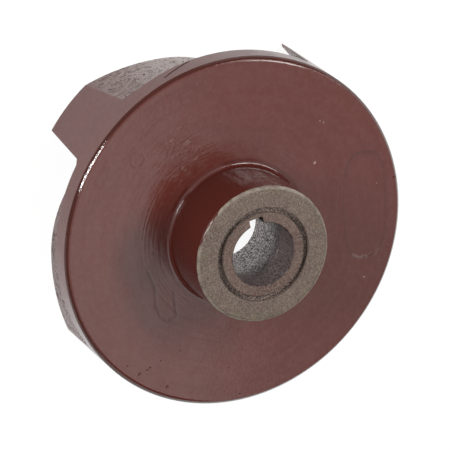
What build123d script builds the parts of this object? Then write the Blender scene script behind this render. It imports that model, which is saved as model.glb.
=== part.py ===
from build123d import *
import os
from math import atan, cos, exp, hypot, log, pi, radians, sin, tan

# Semi-open pump impeller: one iron casting. Sizes are in millimetres and degrees.
# The bore runs along Z. The vanes stand below the plate, with their free edges at z = 0,
# and the hub rises above it. The keyway is cut on the +X side of the bore.

# Plate that carries the vanes
plate_diameter = 158.75         # turned, 6 1/4 in
plate_thickness = 10.4
plate_edge_chamfer = 1.4        # on the hub side only

# Hub, and the seal groove in its faced end
hub_end_diameter = 61.2
hub_height = 28.3               # above the plate
hub_draft = 0.5
hub_end_radius = 1.6
hub_root_radius = 1.6
groove_outer_diameter = 42.6
groove_inner_diameter = 37.6
groove_depth = 2.4

# Bore, keyway, and the faced seat for the washer that holds the impeller on its shaft
bore_diameter = 28.575          # 1 1/8 in
bore_edge_chamfer = 0.4
key_width = 6.35                # 1/4 in
key_depth = 2.925               # of the keyway's floor beyond the wall of the bore
key_corner_radius = 0.4
seat_diameter = 46.0
seat_height = 0.5               # proud of the plate

# Vanes
vane_count = 4
vane_height = 33.9              # from the free edges to the plate
vane_corner_angle = 28.2        # where the first vane's outer side meets the rim, at z = 0
vane_tip_span = 17.2            # how much of the rim a tip takes up, at z = 0
vane_outlet_angle = 14.7        # between the vane and the circle through it, at the rim
vane_inlet_angle = 35.0         # the same at the inner end
vane_inlet_diameter = 76.0
vane_outlet_thickness = 8.0
vane_inlet_thickness = 6.0      # the inner end is a half round of this width
vane_tip_lean = 18.0            # of the tip's end face, from radial
vane_tip_radius = 2.4
vane_draft = 2.5
vane_tip_draft = 4.7            # of the tip's end face
vane_root_flare = 2.0

plate_radius = plate_diameter / 2
plate_top = vane_height + plate_thickness
hub_top = plate_top + hub_height
seat_level = vane_height - seat_height

# The raw vanes run on past the turned diameter, and the raw plate past them
side_arcs = 7                   # tangent arcs that make up each side of a vane
raw_overrun = 7.0               # degrees that a raw vane runs past its tip's end face
raw_rim = 6.0                   # plate beyond the ends of the raw vanes
cutter_size = 120.0


def polar(radius, angle):
    return Vector(radius * cos(angle), radius * sin(angle))


def sideways(direction):
    return Vector(direction.Y, -direction.X)


outlet_cot = 1 / tan(radians(vane_outlet_angle))
inlet_cot = 1 / tan(radians(vane_inlet_angle))
inlet_depth = log(plate_diameter / vane_inlet_diameter)
raw_depth = -radians(vane_tip_span + raw_overrun) / outlet_cot
raw_radius = plate_radius * exp(-raw_depth) + raw_rim


def vane_side_point(depth):
    """Place and direction on a vane's outer side at z = 0, and the vane's thickness there.

    The side is a spiral. Depth is ln(plate radius / radius), and the cotangent of the
    vane's angle falls with its cube, from the rim to the inner end.
    """
    cot_fall = (outlet_cot - inlet_cot) * (depth / inlet_depth) ** 3
    angle = radians(vane_corner_angle) - depth * (outlet_cot - cot_fall / 4)
    place = polar(plate_radius * exp(-depth), angle)
    along = polar(1, angle + pi / 2 - atan(1 / (outlet_cot - cot_fall)))
    thinning = (vane_outlet_thickness - vane_inlet_thickness) * depth / inlet_depth
    return place, along, vane_outlet_thickness - thinning


def tangent_arcs(points, along):
    arcs = []
    for start, end in zip(points, points[1:]):
        arcs.append(TangentArc(start, end, tangent=along))
        along = arcs[-1] % 1
    return arcs


def vane_sides():
    """Outer and inner side of the first raw vane at z = 0, from its inner end outwards."""
    outer_points = []
    inner_points = []
    for k in range(side_arcs + 1):
        depth = inlet_depth + (raw_depth - inlet_depth) * k / side_arcs
        place, along, thickness = vane_side_point(depth)
        outer_points.append(place)
        inner_points.append(place - sideways(along) * thickness)
    along = vane_side_point(inlet_depth)[1]
    return tangent_arcs(outer_points, along), tangent_arcs(inner_points, along)


def moved_sideways(arcs, distance):
    """The arcs moved to their right, about the same centres."""
    points = [arcs[0] @ 0 + sideways(arcs[0] % 0) * distance]
    points += [arc @ 1 + sideways(arc % 1) * distance for arc in arcs]
    return tangent_arcs(points, arcs[0] % 0)


def vane_section(level):
    """Outline of the first raw vane, which the draft makes thicker towards the plate."""
    grown = level * tan(radians(vane_draft))
    outer, inner = vane_sides()
    outer = moved_sideways(outer, grown)
    inner = moved_sideways(inner, -grown)
    nose = TangentArc(inner[0] @ 0, outer[0] @ 0, tangent=-(inner[0] % 0))
    end = Line(outer[-1] @ 1, inner[-1] @ 1)
    return Plane.XY.offset(level) * make_face([nose, *outer, end, *inner])


def tip_cutter():
    """Block that takes the first raw vane back to its tip's end face."""
    end_angle = radians(vane_corner_angle + vane_tip_span)
    corner = polar(plate_radius, end_angle)
    inward = polar(-1, end_angle + radians(vane_tip_lean))
    facing = sideways(inward) - Vector(0, 0, tan(radians(vane_tip_draft)))
    end_face = Plane(corner, x_dir=inward, z_dir=facing)
    return extrude(end_face * Rectangle(cutter_size, cutter_size), cutter_size / 2)


def raw_vane():
    sections = [vane_section(0), vane_section(vane_height + plate_thickness / 2)]
    uncut = loft(sections, ruled=True)
    vane = uncut - tip_cutter()
    end_edges = new_edges(uncut, combined=vane)
    upright = end_edges.filter_by(lambda edge: abs((edge % 0.5).Z) > 0.9)
    return fillet(upright.sort_by(distance_from_axis)[0], vane_tip_radius)


def distance_from_axis(edge):
    return hypot(edge.center().X, edge.center().Y)


def circles_at(shape, level, radius):
    near = 0.01
    return [
        edge for edge in shape.edges().filter_by(GeomType.CIRCLE)
        if abs(edge.center().Z - level) < near and abs(edge.radius - radius) < near
    ]


def upright_cylinder(diameter, bottom, top):
    on_axis = (Align.CENTER, Align.CENTER, Align.MIN)
    return Pos(0, 0, bottom) * Cylinder(diameter / 2, top - bottom, align=on_axis)


def raw_plate():
    """Raw plate with the washer seat below it and the hub above it."""
    hub_root_diameter = hub_end_diameter + 2 * hub_height * tan(radians(hub_draft))
    hub = Pos(0, 0, plate_top + hub_height / 2) * Cone(
        hub_root_diameter / 2, hub_end_diameter / 2, hub_height
    )
    body = upright_cylinder(2 * raw_radius, vane_height, plate_top) + hub
    body += upright_cylinder(seat_diameter, seat_level, plate_top)
    body = fillet(circles_at(body, plate_top, hub_root_diameter / 2), hub_root_radius)
    return fillet(circles_at(body, hub_top, hub_end_diameter / 2), hub_end_radius)


def casting():
    """Raw plate and vanes, with a flare round the root of each vane."""
    plate = raw_plate()
    vanes = PolarLocations(0, vane_count) * raw_vane()
    body = plate + vanes
    return chamfer(new_edges(plate, *vanes, combined=body), vane_root_flare)


def keyway():
    reach = bore_diameter / 2 + key_depth
    section = Pos(reach / 2, 0) * Rectangle(reach, key_width)
    section = fillet(section.vertices().group_by(Axis.X)[-1], key_corner_radius)
    return Pos(0, 0, seat_level) * extrude(section, hub_top - seat_level)


def machined(body):
    """Turned rim, grooved hub end and keyed bore."""
    body &= upright_cylinder(plate_diameter, 0, hub_top)
    body = chamfer(circles_at(body, plate_top, plate_diameter / 2), plate_edge_chamfer)
    body -= upright_cylinder(groove_outer_diameter, hub_top - groove_depth, hub_top) - (
        upright_cylinder(groove_inner_diameter, hub_top - groove_depth, hub_top)
    )
    body -= upright_cylinder(bore_diameter, seat_level, hub_top)
    bore_edges = [circles_at(body, level, bore_diameter / 2) for level in (seat_level, hub_top)]
    return chamfer(sum(bore_edges, []), bore_edge_chamfer) - keyway()


os.makedirs("parts", exist_ok=True)
export_step(machined(casting()), "parts/impeller.step")
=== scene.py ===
import math

import bpy
from mathutils import Matrix, Vector


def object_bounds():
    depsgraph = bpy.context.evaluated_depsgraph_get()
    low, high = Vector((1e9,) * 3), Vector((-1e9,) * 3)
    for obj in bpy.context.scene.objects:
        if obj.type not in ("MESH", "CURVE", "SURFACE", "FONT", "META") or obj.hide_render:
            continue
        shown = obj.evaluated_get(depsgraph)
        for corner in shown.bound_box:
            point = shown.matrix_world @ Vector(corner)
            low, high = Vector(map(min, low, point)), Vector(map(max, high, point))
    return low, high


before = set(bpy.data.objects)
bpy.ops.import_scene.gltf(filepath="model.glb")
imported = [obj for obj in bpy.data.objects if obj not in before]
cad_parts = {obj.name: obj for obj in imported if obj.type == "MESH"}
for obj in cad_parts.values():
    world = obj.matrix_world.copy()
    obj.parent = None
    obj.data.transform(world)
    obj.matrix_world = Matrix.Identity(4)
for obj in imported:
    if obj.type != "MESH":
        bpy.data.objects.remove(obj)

cad_low, cad_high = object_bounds()

# Levels of the casting, in millimetres
HUB_END = cad_high.z * 1000.0
PLATE_TOP = HUB_END - 28.3
PLATE_BOTTOM = PLATE_TOP - 10.4
SEAT_LEVEL = PLATE_BOTTOM - 0.5

# ---------------------------------------------------------------- nodes


class Graph:
    """A material's node tree, and short ways to add to it. Lengths are in millimetres."""

    def __init__(self, name):
        self.material = bpy.data.materials.new(name)
        self.material.use_nodes = True
        self.tree = self.material.node_tree
        self.shader = self.tree.nodes["Principled BSDF"]
        coords = self.node("ShaderNodeTexCoord").outputs["Object"]
        self.mm = self.vector("SCALE", coords, scale=1000.0)
        split = self.node("ShaderNodeSeparateXYZ", Vector=self.mm).outputs
        self.x, self.y, self.z = split[0], split[1], split[2]
        self.r = self.distance(self.x, self.y)
        self.angle = self.math("ARCTAN2", self.y, self.x)

    def put(self, socket, value):
        if isinstance(value, bpy.types.NodeSocket):
            self.tree.links.new(value, socket)
        elif isinstance(value, tuple) and len(value) == 3 and socket.type == "RGBA":
            socket.default_value = (*value, 1.0)
        else:
            socket.default_value = value

    def node(self, kind, **values):
        made = self.tree.nodes.new(kind)
        for name, value in values.items():
            self.put(made.inputs[name.replace("_", " ")], value)
        return made

    def math(self, operation, *values):
        made = self.tree.nodes.new("ShaderNodeMath")
        made.operation = operation
        for socket, value in zip(made.inputs, values):
            self.put(socket, value)
        return made.outputs[0]

    def add(self, *values):
        total = values[0]
        for value in values[1:]:
            total = self.math("ADD", total, value)
        return total

    def times(self, *values):
        total = values[0]
        for value in values[1:]:
            total = self.math("MULTIPLY", total, value)
        return total

    def minus(self, first, second):
        return self.math("SUBTRACT", first, second)

    def absolute(self, value):
        return self.math("ABSOLUTE", value)

    def larger(self, first, second):
        return self.math("MAXIMUM", first, second)

    def distance(self, x, y):
        return self.math("SQRT", self.add(self.times(x, x), self.times(y, y)))

    def vector(self, operation, *values, scale=None):
        made = self.tree.nodes.new("ShaderNodeVectorMath")
        made.operation = operation
        for socket, value in zip(made.inputs, values):
            self.put(socket, value)
        if scale is not None:
            made.inputs["Scale"].default_value = scale
        return made.outputs[0]

    def combine(self, x, y, z):
        return self.node("ShaderNodeCombineXYZ", X=x, Y=y, Z=z).outputs[0]

    def noise(self, scale, detail=2.0, roughness=0.5, vector=None):
        """Noise from 0 to 1, with scale in cycles a millimetre."""
        made = self.node("ShaderNodeTexNoise", Scale=scale, Detail=detail, Roughness=roughness)
        self.put(made.inputs["Vector"], vector or self.mm)
        return made.outputs[0]

    def cells(self, scale):
        """Distance to the nearest of some scattered points, in cells."""
        return self.node("ShaderNodeTexVoronoi", Scale=scale, Vector=self.mm).outputs["Distance"]

    def ramp(self, value, low, high, start=0.0, end=1.0):
        """Goes smoothly from start at low to end at high, and stays there."""
        made = self.node("ShaderNodeMapRange")
        made.interpolation_type = "SMOOTHSTEP"
        for index, part in enumerate((value, low, high, start, end)):
            self.put(made.inputs[index], part)
        return made.outputs[0]

    def blend(self, factor, first, second):
        made = self.tree.nodes.new("ShaderNodeMix")
        made.data_type = "RGBA"
        for index, part in ((0, factor), (6, first), (7, second)):
            self.put(made.inputs[index], part)
        return made.outputs[2]

    def layers(self, colour, *parts):
        """The colour with other colours laid over it, each given after how much it covers."""
        for factor, tint in parts:
            colour = self.blend(factor, colour, tint)
        return colour

    def between(self, factor, first, second):
        made = self.tree.nodes.new("ShaderNodeMix")
        for index, part in ((0, factor), (2, first), (3, second)):
            self.put(made.inputs[index], part)
        return made.outputs[0]

    def finish(self, colour, roughness, height, metallic=0.0, edge=0.25, specular=0.5):
        """Joins colour, roughness and a height in millimetres to the shader."""
        bevel = self.node("ShaderNodeBevel", Radius=self.times(edge, 0.001))
        bevel.samples = 6
        bump = self.node("ShaderNodeBump", Strength=1.0, Distance=0.001, Height=height)
        self.put(bump.inputs["Normal"], bevel.outputs[0])
        self.put(self.shader.inputs["Base Color"], colour)
        self.put(self.shader.inputs["Roughness"], roughness)
        self.put(self.shader.inputs["Metallic"], metallic)
        self.put(self.shader.inputs["Specular IOR Level"], specular)
        self.put(self.shader.inputs["Normal"], bump.outputs[0])
        return self.material


# ---------------------------------------------------------------- finishes

PAINT = (0.116, 0.022, 0.015)
PAINT_DARK = (0.090, 0.015, 0.010)
PAINT_DUST = (0.160, 0.060, 0.050)
IRON = (0.132, 0.094, 0.076)
IRON_DARK = (0.060, 0.040, 0.032)
IRON_OLIVE = (0.150, 0.120, 0.072)
IRON_RUST = (0.170, 0.075, 0.042)


def paint_colour(g, mottle=1.0):
    """Red-brown enamel with faint mottling and a little dust."""
    thick_coat_and_shadow = g.ramp(g.noise(0.045, 3.0, 0.6), 0.35, 0.65, 0.0, 0.35)
    colour = g.blend(thick_coat_and_shadow, PAINT, PAINT_DARK)
    dust = g.ramp(g.noise(0.42, 4.0, 0.65), 0.42, 0.66, 0.0, 0.24 * mottle)
    colour = g.blend(dust, colour, PAINT_DUST)
    return g.blend(g.ramp(g.noise(0.95, 1.0, 0.5), 0.58, 0.70, 0.0, 0.36 * mottle), colour, PAINT_DARK)


def paint_roughness(g, low=0.10, high=0.18):
    return g.ramp(g.noise(0.12, 4.0, 0.6), 0.3, 0.7, low, high)


def orange_peel(g, amount=1.0):
    waves = g.times(g.noise(0.055, 3.0, 0.55), 0.12 * amount)
    peel = g.times(g.noise(0.70, 3.0, 0.6), 0.050 * amount)
    return g.add(waves, peel)


def speckle(g, scale=1.1):
    """Coarse grain of bare iron."""
    return g.noise(scale, 1.0, 0.5)


def turning_marks(g, across, depth, pitch=0.9):
    """Fine grooves that follow the lathe's feed: across is the distance along the feed."""
    line = g.combine(across, g.times(g.angle, 0.6), 0.0)
    return g.times(g.noise(pitch, 3.0, 0.7, line), depth)


def away_from(g, x, y):
    """Distance from the upright line through (x, y)."""
    return g.distance(g.minus(g.x, x), g.minus(g.y, y))


def along_and_across(g, start, direction):
    """Distance from a start along a level direction, and distance across it."""
    dx, dy = g.minus(g.x, start[0]), g.minus(g.y, start[1])
    ux, uy = direction
    return g.add(g.times(dx, ux), g.times(dy, uy)), g.add(g.times(dy, ux), g.times(dx, -uy))


def marks_at(g, spots):
    """1 in the middle of each small round spot, given as (x, y, radius) in millimetres."""
    total = 0.0
    for x, y, radius in spots:
        total = g.add(total, g.ramp(away_from(g, x, y), radius, radius * 0.4))
    return total


def ring_at(g, x, y, radius, width):
    return g.ramp(g.absolute(g.minus(away_from(g, x, y), radius)), width, 0.0)


def long_round_mark(g):
    """How far out in the long mark: 0 in its middle, 1 at its outline. Also the place along it."""
    places = along_and_across(g, LONG_MARK_MIDDLE, LONG_MARK_DIRECTION)
    cubes = [g.math("POWER", g.absolute(g.times(place, 1 / half)), 3.0)
             for place, half in zip(places, LONG_MARK_HALVES)]
    return g.math("POWER", g.add(*cubes), 1 / 3), places[0]


def line_along(g, points, width):
    """1 on a crooked line through (x, y) points, fading to 0 at half its width."""
    nearest = 1000.0
    for (x0, y0), (x1, y1) in zip(points, points[1:]):
        length = math.hypot(x1 - x0, y1 - y0)
        direction = ((x1 - x0) / length, (y1 - y0) / length)
        along, across = along_and_across(g, (x0, y0), direction)
        beyond = g.minus(along, g.math("MINIMUM", g.larger(along, 0.0), length))
        nearest = g.math("MINIMUM", nearest, g.distance(beyond, across))
    return g.ramp(nearest, width / 2, 0.0)


# Marks in the plate's paint: (x, y) points, or (x, y, radius), in millimetres
RUN_IN_PAINT = ((-2.3, 42.8), (-10.3, 41.3), (-18.6, 42.6), (-24.5, 41.6), (-27.7, 39.4), (-28.3, 36.6),
                (-27.4, 34.4), (-24.0, 34.2), (-15.8, 33.4))
RUN_MIDDLE = ((-28.2, 34.6), (-30.5, 29.0), (-32.3, 24.4), (-33.6, 17.4))
PALE_SPECKS = ((17.9, -42.4, 0.9), (35.9, -48.6, 0.5), (34.7, -50.0, 0.4), (-2.0, -69.0, 0.4),
               (-43.1, -54.3, 0.5))
DARK_SPECKS = ((-41.2, 61.4, 0.5), (-47.3, 56.8, 1.0), (-46.8, 53.1, 0.6), (-46.2, 51.5, 0.7),
               (-44.9, 46.1, 0.5), (-43.5, 36.6, 0.5), (-58.0, 45.9, 0.9), (-60.5, 16.4, 0.5),
               (-74.7, 14.0, 0.7), (-2.5, -77.9, 1.1))
SCUFFED_PLACE = (45.0, 16.0)
# Middle of the hub's shadow, painted on the plate
HUB_SHADOW_PLACE = (5.0, 39.0)
DENT = (49.0, 36.0, 3.2)
LONG_MARK_MIDDLE = (-9.6, -61.5)
LONG_MARK_DIRECTION = (-0.984, 0.178)
LONG_MARK_HALVES = (24.4, 10.2)         # half its length and half its width


def plate_paint():
    """Brushed and sprayed enamel, with its runs, specks, dent and scuffs."""
    g = Graph("plate_paint")
    patch = g.ramp(g.noise(0.05, 2.0, 0.5), 0.40, 0.62, 0.45, 1.0)
    near_hub = g.times(g.ramp(g.r, 54.0, 40.0), patch)
    rings = g.times(turning_marks(g, g.r, 0.12, 1.1), g.add(near_hub, 0.05))
    round_strokes = g.combine(g.times(g.r, 0.30), g.times(g.angle, 1.6), 0.0)
    strokes = g.noise(1.0, 4.0, 0.6, round_strokes)
    scuffed = g.times(g.ramp(away_from(g, *SCUFFED_PLACE), 17.0, 5.0),
                      g.ramp(g.noise(0.12, 3.0, 0.6), 0.40, 0.58))
    scuff_lines = g.noise(1.0, 3.0, 0.7, g.combine(g.r, g.times(g.angle, 9.0), 0.0))
    scuffs = g.times(scuffed, g.ramp(scuff_lines, 0.48, 0.62))
    pale = marks_at(g, PALE_SPECKS)
    dark = marks_at(g, DARK_SPECKS)
    run = g.larger(line_along(g, RUN_IN_PAINT, 2.6), g.times(line_along(g, RUN_MIDDLE, 2.8), 0.6))
    mark, along = long_round_mark(g)
    outline = g.ramp(g.absolute(g.minus(mark, 1.0)), 0.055, 0.0)
    arc = g.times(outline, g.ramp(g.r, 77.5, 76.0))
    arc_end = g.times(arc, g.ramp(along, 20.0, 23.5), g.ramp(g.noise(0.6), 0.40, 0.56))
    dent = ring_at(g, *DENT, 0.9)
    # The paint is thicker on part of the plate's edge, and wet or dull by turns round the hub's root
    thick_edge = g.times(g.ramp(g.angle, -0.85, -0.50), g.ramp(g.angle, 2.9, 2.4))
    edge_bead = g.times(g.ramp(g.r, 77.1, 77.97, 0.0, -0.24), thick_edge)
    edge_round = g.ramp(g.z, PLATE_TOP - 1.4, PLATE_TOP - 0.7, -0.12, 0.0)
    wet = g.add(g.times(g.ramp(g.angle, 0.50, 0.62), g.ramp(g.angle, 0.96, 0.84)),
                g.times(g.ramp(g.angle, -1.25, -1.05), g.ramp(g.angle, 0.05, -0.10)))
    root = g.ramp(g.r, 34.2, 33.4)
    dull = g.times(g.minus(root, g.times(root, wet)), g.ramp(g.angle, 1.45, 1.15),
                   g.ramp(g.angle, -2.6, -2.0))
    height = g.add(
        orange_peel(g), edge_bead, edge_round, rings, g.times(strokes, 0.12), g.times(scuffs, 0.12),
        g.times(pale, 0.12), g.times(dark, -0.12), g.times(run, -0.05), g.times(arc, -0.02),
        g.times(arc_end, 0.05), g.times(dent, -0.035),
    )
    chamfer = g.ramp(g.z, PLATE_TOP - 0.1, PLATE_TOP - 0.3)
    rounded = g.larger(chamfer, root)
    # Painted shadow of the hub on the plate, to its left and below it
    thick_coat_and_shadow = g.ramp(away_from(g, *HUB_SHADOW_PLACE), 24.0, 8.0, 0.0, 0.40)
    in_mark = g.ramp(mark, 1.0, 0.92, 0.0, 0.12)
    colour = g.layers(
        paint_colour(g),
        (g.ramp(strokes, 0.40, 0.62, 0.0, 0.12), PAINT_DUST),
        # painted shadow of the hub
        (thick_coat_and_shadow, (0.045, 0.012, 0.010)),
        (g.times(scuffs, 0.45), (0.26, 0.15, 0.13)),
        (g.times(run, 0.34), (0.040, 0.012, 0.010)),
        (g.times(arc, 0.42), (0.050, 0.014, 0.012)),
        (in_mark, (0.120, 0.032, 0.026)),
        # pale lower end of the long mark: painted highlight on its raised edge
        (g.times(arc_end, 0.4), (0.32, 0.21, 0.19)),
        (g.times(dark, 0.6), (0.050, 0.008, 0.006)),
        (pale, (0.34, 0.20, 0.15)),
        # darker paint on the hub's root fillet and on the chamfer: painted shade
        (root, PAINT_DARK),
        (chamfer, (0.080, 0.026, 0.021)),
    )
    rough = g.between(dull, g.between(rounded, paint_roughness(g), 0.07), 0.5)
    return g.finish(colour, rough, height, edge=0.45)


PAINT_CLIMBS_AT = (21.0, 22.0)          # where the hub's paint reaches round to its end


def hub_finish():
    """Paint on the hub's side, bare turned iron on its end."""
    g = Graph("hub_paint_and_iron")
    ragged = g.times(g.minus(g.noise(0.35, 4.0, 0.7), 0.5), 2.2)
    climb = g.ramp(away_from(g, *PAINT_CLIMBS_AT), 11.0, 6.0, 0.0, -1.0)
    bare = g.ramp(g.add(g.z, ragged, climb), HUB_END - 1.4, HUB_END - 1.2)
    speck, fine = speckle(g, 1.25), speckle(g, 1.85)
    stain = g.ramp(g.noise(0.14, 4.0, 0.6), 0.44, 0.62, 0.0, 0.85)
    rust = g.ramp(g.noise(0.45, 4.0, 0.7), 0.54, 0.72, 0.0, 0.65)
    inner_ring = g.ramp(g.r, 21.6, 18.8, 0.0, 0.82)
    cloud = g.ramp(g.noise(0.075, 2.0, 0.5), 0.42, 0.60, 0.0, 0.30)
    # Pale band on the rounding of the hub's end: painted highlight
    painted_edge_highlight = g.times(g.ramp(g.r, 29.2, 30.2), g.ramp(g.z, HUB_END - 2.0, HUB_END - 1.0),
                          g.ramp(g.noise(0.3, 3.0), 0.35, 0.6, 0.2, 0.8))
    iron = g.layers(
        IRON,
        (g.times(g.ramp(g.r, 24.5, 29.5), stain), IRON_OLIVE),
        (rust, IRON_RUST),
        (inner_ring, (0.090, 0.034, 0.026)),
        (cloud, (0.215, 0.155, 0.115)),
        (g.ramp(speck, 0.42, 0.62, 0.0, 0.52), (0.27, 0.215, 0.175)),
        (g.ramp(fine, 0.50, 0.62, 0.0, 0.74), IRON_DARK),
        (painted_edge_highlight, (0.34, 0.29, 0.23)),
    )
    # The hub's side is painted darker than the plate: painted shade
    paint = g.blend(0.75, paint_colour(g, 0.2), (0.084, 0.016, 0.011))
    # Grey streaks near the top of the hub's side: painted reflection
    drawn = g.noise(1.0, 3.0, 0.7, g.combine(g.times(g.angle, 10.0), g.times(g.z, 0.06), 0.0))
    painted_hub_reflection = g.times(
        g.ramp(g.angle, -0.80, -0.35), g.ramp(g.angle, 0.16, -0.06),
        g.ramp(g.z, PLATE_TOP + 2.2, PLATE_TOP + 4.7), g.ramp(g.z, HUB_END - 3.6, HUB_END - 12.6),
        g.ramp(drawn, 0.40, 0.60),
    )
    paint = g.blend(painted_hub_reflection, paint, (0.160, 0.090, 0.084))
    colour = g.blend(bare, paint, iron)
    rough = g.between(bare, paint_roughness(g, 0.06, 0.10), g.ramp(speck, 0.3, 0.7, 0.44, 0.62))
    height = g.between(bare, g.add(orange_peel(g, 0.45), 0.10),
                       g.add(turning_marks(g, g.r, 0.03, 1.4), g.times(fine, 0.08), g.times(speck, 0.05)))
    return g.finish(colour, rough, height, g.times(bare, 0.12), edge=0.40)


def rim_paint():
    """Turned rim, with the flat place where the plate was ground to balance it."""
    g = Graph("rim_paint")
    turned = turning_marks(g, g.z, 0.05, 1.1)
    along = g.combine(g.times(g.angle, 18.0), g.times(g.z, 0.12), 0.0)
    streaks = g.times(g.noise(1.0, 4.0, 0.6, along), 0.15)
    slope = g.minus(g.add(g.times(g.angle, 24.0), PLATE_BOTTOM + 0.4), g.z)
    within = g.times(g.ramp(g.angle, 0.0, 0.02), g.ramp(g.angle, 0.186, 0.183))
    ground = g.times(g.ramp(slope, -0.25, 0.25), within)
    line = g.times(g.ramp(g.absolute(slope), 0.7, 0.1), within)
    height = g.add(orange_peel(g, 0.7), turned, streaks, g.times(ground, -0.5))
    colour = g.blend(g.times(line, 0.9), paint_colour(g), (0.034, 0.014, 0.011))
    rough = g.between(line, paint_roughness(g, 0.16, 0.28), 0.95)
    return g.finish(colour, rough, height, g.times(line, 0.95), edge=0.45, specular=0.58)


def cast_paint():
    """Thin paint over a sand-cast skin with cracks and pits."""
    g = Graph("cast_paint")
    grain = g.noise(0.36, 5.0, 0.68)
    worm = g.absolute(g.minus(g.noise(0.26, 3.0, 0.6), 0.5))
    crack = g.times(g.ramp(worm, 0.022, 0.004), g.ramp(g.noise(0.3, 2.0), 0.43, 0.54))
    hole = g.times(g.ramp(g.cells(0.40), 0.26, 0.08), g.ramp(g.noise(0.16), 0.50, 0.62), 0.7)
    deep = g.times(g.larger(crack, hole), 0.85)
    # Pale patches on the vanes facing one way: painted sheen
    painted_vane_sheen = g.times(g.ramp(g.angle, 0.42, -0.02), g.ramp(g.angle, -1.3, -0.7),
                    g.ramp(grain, 0.30, 0.55, 0.5, 1.0))
    colour = g.layers(
        paint_colour(g),
        (g.ramp(grain, 0.36, 0.62, 0.18, 0.68), (0.230, 0.135, 0.120)),
        (g.times(painted_vane_sheen, 0.85), (0.44, 0.35, 0.32)),
        (deep, (0.026, 0.009, 0.007)),
    )
    rough = g.between(deep, paint_roughness(g, 0.22, 0.34), 0.9)
    height = g.add(g.times(grain, 1.5), g.times(g.noise(0.07, 3.0, 0.5), 1.5), g.times(deep, -0.5))
    return g.finish(colour, rough, height, deep, edge=1.5, specular=1.0)


def vane_edge_paint():
    """Plain paint on the vanes' turned free edges."""
    g = Graph("vane_edge_paint")
    return g.finish(paint_colour(g), paint_roughness(g), g.add(orange_peel(g), turning_marks(g, g.r, 0.05)))


def bore_iron():
    """Rough pale iron, rust-red near the mouth and darker there with painted shade; the keyway is painted
    near black as its shade.
    """
    g = Graph("bore_iron")
    speck = g.noise(1.25, 2.0, 0.7)
    # Darker and red-brown towards the mouth: rust, with painted shade
    wavy = g.add(g.z, g.times(g.noise(0.10, 3.0, 0.6), 14.0))
    mouth = g.ramp(wavy, HUB_END - 17.6, HUB_END - 4.6)
    # Near black in the keyway: painted shade
    keyway = g.ramp(g.r, 14.5, 15.0)
    colour = g.layers(
        (0.064, 0.050, 0.047),
        (g.ramp(speck, 0.42, 0.58), (0.90, 0.85, 0.83)),
        (g.ramp(g.cells(0.7), 0.22, 0.08, 0.0, 0.9), (0.020, 0.015, 0.014)),
        (g.times(mouth, 0.86), (0.046, 0.016, 0.012)),
        (g.times(keyway, 0.95), (0.012, 0.008, 0.007)),
    )
    return g.finish(colour, g.between(keyway, 0.6, 0.95), g.times(speck, 0.22), 0.2, specular=0.25)


def groove_iron():
    """Dark speckled iron in the seal groove."""
    g = Graph("groove_iron")
    speck = speckle(g, 1.7)
    colour = g.blend(g.ramp(speck, 0.42, 0.60, 0.0, 0.8), (0.070, 0.046, 0.038), (0.37, 0.285, 0.24))
    return g.finish(colour, 0.65, g.times(speck, 0.05), 0.05)


def seat_iron():
    """Faced iron of the washer seat."""
    g = Graph("seat_iron")
    speck = speckle(g)
    colour = g.blend(g.ramp(speck, 0.5, 0.65, 0.0, 0.6), IRON, IRON_DARK)
    return g.finish(colour, 0.5, g.add(turning_marks(g, g.r, 0.03), g.times(speck, 0.05)), 0.3)


# ---------------------------------------------------------------- casting

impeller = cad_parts["impeller"]
mesh = impeller.data
mesh.materials.clear()
finishes = [plate_paint(), hub_finish(), rim_paint(), cast_paint(), vane_edge_paint(), bore_iron(),
            groove_iron(), seat_iron()]
for finish in finishes:
    mesh.materials.append(finish)
PLATE, HUB, RIM, CAST, EDGE, BORE, GROOVE, SEAT = range(len(finishes))

# Levels and radii that part the finishes, in millimetres
CHAMFER_FOOT, HUB_FOOT = PLATE_TOP - 2.3, PLATE_TOP + 1.2
KEYWAY_REACH, GROOVE_INNER, GROOVE_OUTER, SEAT_REACH, HUB_REACH = 18.0, 18.5, 21.6, 24.0, 33.0
CHAMFER_INNER, TURNED_RIM = 77.5, 78.9
NEAR = 0.05


def zone(face):
    """The finish of a face of the mesh, by its place in millimetres."""
    x, y, z = face.center * 1000.0
    r = math.hypot(x, y)
    up = face.normal.z
    faces_down = up < -0.9
    on_seat_face = faces_down and z < SEAT_LEVEL + 0.2
    if r < KEYWAY_REACH and SEAT_LEVEL - NEAR < z < HUB_END - NEAR and not on_seat_face:
        return BORE
    if HUB_FOOT < z < HUB_END - NEAR and GROOVE_INNER < r < GROOVE_OUTER:
        return GROOVE
    if r < HUB_REACH and z > HUB_FOOT:
        return HUB
    if z > PLATE_TOP - NEAR:
        return PLATE
    if z > CHAMFER_FOOT and r > CHAMFER_INNER:
        return PLATE if up > 0.2 else RIM
    if r > TURNED_RIM and abs(up) < 0.1:
        return RIM
    if z < PLATE_BOTTOM - NEAR and up < -0.99 and r < SEAT_REACH:
        return SEAT
    if z < NEAR and faces_down:
        return EDGE
    return CAST


for face in mesh.polygons:
    face.material_index = zone(face)

# ---------------------------------------------------------------- studio

FOCUS = Vector((0.0, 0.0, 0.044))        # middle of the plate's hub side, in metres


def light_path(tree):
    """1 for camera, glossy and transmission rays."""
    rays = tree.nodes.new("ShaderNodeLightPath").outputs
    total = rays["Is Camera Ray"]
    for name in ("Is Glossy Ray", "Is Transmission Ray"):
        larger = tree.nodes.new("ShaderNodeMath")
        larger.operation = "MAXIMUM"
        tree.links.new(total, larger.inputs[0])
        tree.links.new(rays[name], larger.inputs[1])
        total = larger.outputs[0]
    return total


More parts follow.
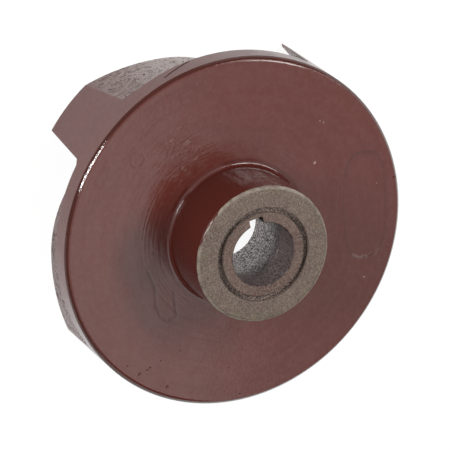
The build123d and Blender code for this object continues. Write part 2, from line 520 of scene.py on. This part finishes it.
def studio_world(level):
    """White background, which lights the object at a lower level."""
    world = bpy.data.worlds.new("studio")
    bpy.context.scene.world = world
    world.use_nodes = True
    tree = world.node_tree
    background = tree.nodes["Background"]
    background.inputs["Color"].default_value = (1.0, 1.0, 1.0, 1.0)
    seen = tree.nodes.new("ShaderNodeMapRange")
    tree.links.new(light_path(tree), seen.inputs[0])
    seen.inputs[3].default_value = level
    tree.links.new(seen.outputs[0], background.inputs["Strength"])


def studio_floor(size, glow, tint):
    """Pale floor that shows white where nothing shades it, and keeps the object's shadow."""
    mesh = bpy.data.meshes.new("floor")
    half = size / 2
    corners = [(-half, -half, 0), (half, -half, 0), (half, half, 0), (-half, half, 0)]
    mesh.from_pydata(corners, [], [(0, 1, 2, 3)])
    floor = bpy.data.objects.new("floor", mesh)
    floor.location.z = -0.0002
    bpy.context.scene.collection.objects.link(floor)
    material = bpy.data.materials.new("floor")
    material.use_nodes = True
    tree = material.node_tree
    tree.nodes.remove(tree.nodes["Principled BSDF"])
    plain = tree.nodes.new("ShaderNodeBsdfDiffuse")
    plain.inputs["Color"].default_value = (0.82, 0.82, 0.82, 1.0)
    shaded = tree.nodes.new("ShaderNodeBsdfDiffuse")
    shaded.inputs["Color"].default_value = (tint, tint, tint, 1.0)
    glowing = tree.nodes.new("ShaderNodeEmission")
    glowing.inputs["Strength"].default_value = glow
    both = tree.nodes.new("ShaderNodeAddShader")
    tree.links.new(shaded.outputs[0], both.inputs[0])
    tree.links.new(glowing.outputs[0], both.inputs[1])
    mixed = tree.nodes.new("ShaderNodeMixShader")
    tree.links.new(light_path(tree), mixed.inputs[0])
    tree.links.new(plain.outputs[0], mixed.inputs[1])
    tree.links.new(both.outputs[0], mixed.inputs[2])
    tree.links.new(mixed.outputs[0], tree.nodes["Material Output"].inputs["Surface"])
    mesh.materials.append(material)


def area_lamp(name, shape, width, height, area, radiance):
    """Lamp of one radiance all over, which the camera doesn't see."""
    data = bpy.data.lights.new(name, "AREA")
    data.shape = shape
    data.size, data.size_y = width, height
    data.energy = radiance * area * math.pi
    lamp = bpy.data.objects.new(name, data)
    lamp.visible_camera = False
    bpy.context.scene.collection.objects.link(lamp)
    return lamp


def softbox(name, azimuth, elevation, distance, width, height, radiance, shift=(0.0, 0.0, 0.0)):
    """Panel that faces the object. Azimuth is from +X towards +Y."""
    lamp = area_lamp(name, "RECTANGLE", width, height, width * height, radiance)
    a, e = math.radians(azimuth), math.radians(elevation)
    towards = Vector((math.cos(a) * math.cos(e), math.sin(a) * math.cos(e), math.sin(e)))
    lamp.location = FOCUS + towards * distance + Vector(shift)
    lamp.rotation_mode = "QUATERNION"
    lamp.rotation_quaternion = (FOCUS - lamp.location).to_track_quat("-Z", "Y")


def dark_cards(radius, bottom, top):
    """Ring of dark cards round the object that only its gloss sees."""
    sides = 48
    mesh = bpy.data.meshes.new("cards")
    corners, panels = [], []
    for k in range(sides):
        a = 2 * math.pi * k / sides
        corners += [(radius * math.cos(a), radius * math.sin(a), height) for height in (bottom, top)]
        after = (k + 1) % sides
        panels.append((2 * k, 2 * after, 2 * after + 1, 2 * k + 1))
    mesh.from_pydata(corners, [], panels)
    cards = bpy.data.objects.new("cards", mesh)
    cards.visible_camera = cards.visible_diffuse = cards.visible_shadow = False
    bpy.context.scene.collection.objects.link(cards)
    material = bpy.data.materials.new("cards")
    material.use_nodes = True
    shader = material.node_tree.nodes["Principled BSDF"]
    shader.inputs["Base Color"].default_value = (0.06, 0.06, 0.06, 1.0)
    shader.inputs["Roughness"].default_value = 0.9
    mesh.materials.append(material)


def eye_box(radius, radiance):
    """Small lamp under the eye, as bright as white card, that lights the far end of the bore."""
    lamp = area_lamp("eye_box", "DISK", 2 * radius, 2 * radius, math.pi * radius ** 2, radiance)
    lamp.location = (0.0, 0.0, 0.002)
    lamp.rotation_euler = (math.pi, 0.0, 0.0)


studio_world(0.22)
studio_floor(size=8.0, glow=0.93, tint=0.14)
dark_cards(radius=1.6, bottom=0.15, top=1.75)
softbox("left_box", azimuth=53.0, elevation=29.0, distance=0.80, width=0.28, height=0.036, radiance=100.0)
softbox("right_box", azimuth=-66.0, elevation=46.0, distance=0.80, width=0.58, height=0.15, radiance=14.8)
softbox("top_box", azimuth=-145.0, elevation=58.0, distance=0.65, width=0.40, height=0.40, radiance=0.8,
        shift=(0.08, 0.22, 0.0))
eye_box(radius=0.022, radiance=1.4)

# ---------------------------------------------------------------- camera

RIM_EDGE = Vector((0.0, 0.0, 0.0429))    # middle of the circle where the rim meets its chamfer
RIM_RADIUS = 0.079375


def main_camera():
    """The photograph's view, worked out from how the rim, hub and bore circles lie in it.

    Tilt, pan and turn are those of the disc's axis. The centre of its rim is given in rim radii.
    """
    tilt, pan, turn = math.radians(31.739), math.radians(37.814), math.radians(215.4)
    centre = Vector((0.05141617, 0.03769626, 20.66455773))
    axis = Vector((math.sin(tilt) * math.cos(pan), math.sin(tilt) * math.sin(pan), -math.cos(tilt)))
    u = Vector((math.cos(tilt) * math.cos(pan), math.cos(tilt) * math.sin(pan), math.sin(tilt)))
    v = Vector((-math.sin(pan), math.cos(pan), 0.0))
    ex = math.cos(turn) * u + math.sin(turn) * v
    ey = math.sin(turn) * u - math.cos(turn) * v
    right, down, ahead = zip(ex, ey, axis)
    data = bpy.data.cameras.new("camera")
    data.sensor_width = 36.0
    data.lens = 304.0
    data.clip_start, data.clip_end = 0.05, 20.0
    camera = bpy.data.objects.new("camera", data)
    place = Vector([-centre.dot(side) for side in (ex, ey, axis)]) * RIM_RADIUS + RIM_EDGE
    turned = Matrix((right, [-c for c in down], [-c for c in ahead])).transposed()
    camera.matrix_world = Matrix.Translation(place) @ turned.to_4x4()
    bpy.context.scene.collection.objects.link(camera)
    bpy.context.scene.camera = camera


main_camera()
bpy.context.scene.view_settings.view_transform = "Standard"
